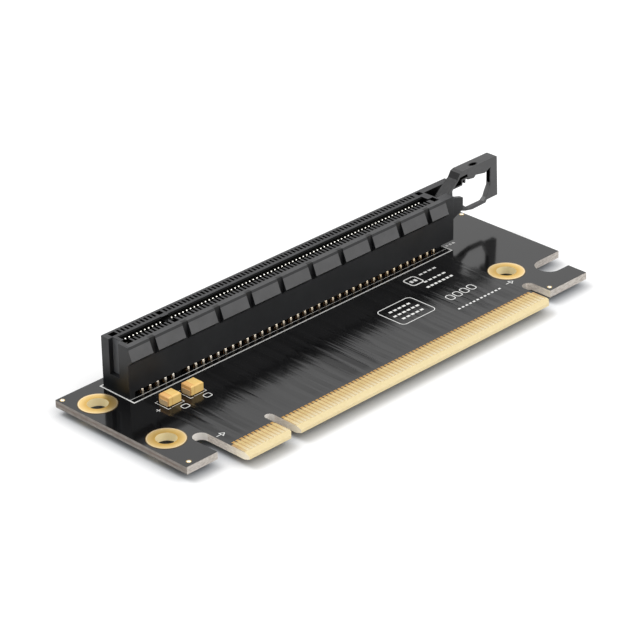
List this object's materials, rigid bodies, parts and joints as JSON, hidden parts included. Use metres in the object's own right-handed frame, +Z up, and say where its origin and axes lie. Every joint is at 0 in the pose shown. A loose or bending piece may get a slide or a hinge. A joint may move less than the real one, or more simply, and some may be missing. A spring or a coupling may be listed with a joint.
{
  "type": "pcie riser card",
  "caption": "Right-angle x16 riser card: black circuit board with a gold edge tab, a standing card slot with its contacts, plated mounting holes and a hinged card latch.",
  "frame": {"origin": "centre line of the edge tab's key notch, at the tab's front edge, on the board's underside", "axes": "+X along the slot towards the latch, +Y from the edge tab to the slot, +Z up out of the board's slot side"},
  "size_m": [0.1176, 0.0417, 0.0175],
  "materials": {
    "board_black": "glossy black solder mask on glass-fibre board",
    "moulding_black": "satin black moulded plastic",
    "gold": "gold plate on copper",
    "contact_metal": "bright plated spring bronze",
    "capacitor_yellow": "yellow moulded epoxy",
    "tin": "tin plate"
  },
  "bodies": {
    "card": {"circuit_board": "board_black", "slot_housing": "moulding_black", "contacts_front_outer": "contact_metal", "contacts_front_inner": "contact_metal", "contacts_rear_inner": "contact_metal", "contacts_rear_outer": "contact_metal", "edge_fingers_top": "gold", "edge_fingers_bottom": "gold", "mount_sleeve_left_rear": "gold", "mount_sleeve_left_front": "gold", "mount_sleeve_right_front": "gold", "corner_via_left_rear": "gold", "corner_via_left_front": "gold", "corner_via_right_rear": "gold", "corner_via_right_front": "gold", "capacitor_left_body": "capacitor_yellow", "capacitor_left_terminals": "tin", "capacitor_right_body": "capacitor_yellow", "capacitor_right_terminals": "tin"},
    "latch": {"retention_latch": "moulding_black"}
  },
  "joints": [
    {"name": "latch_pivot", "type": "hinge", "parent": "card", "child": "latch", "pos_m": [0.0794, 0.03505, 0.00877], "axis": [0, 1, 0], "range_deg": [0, 20]}
  ]
}
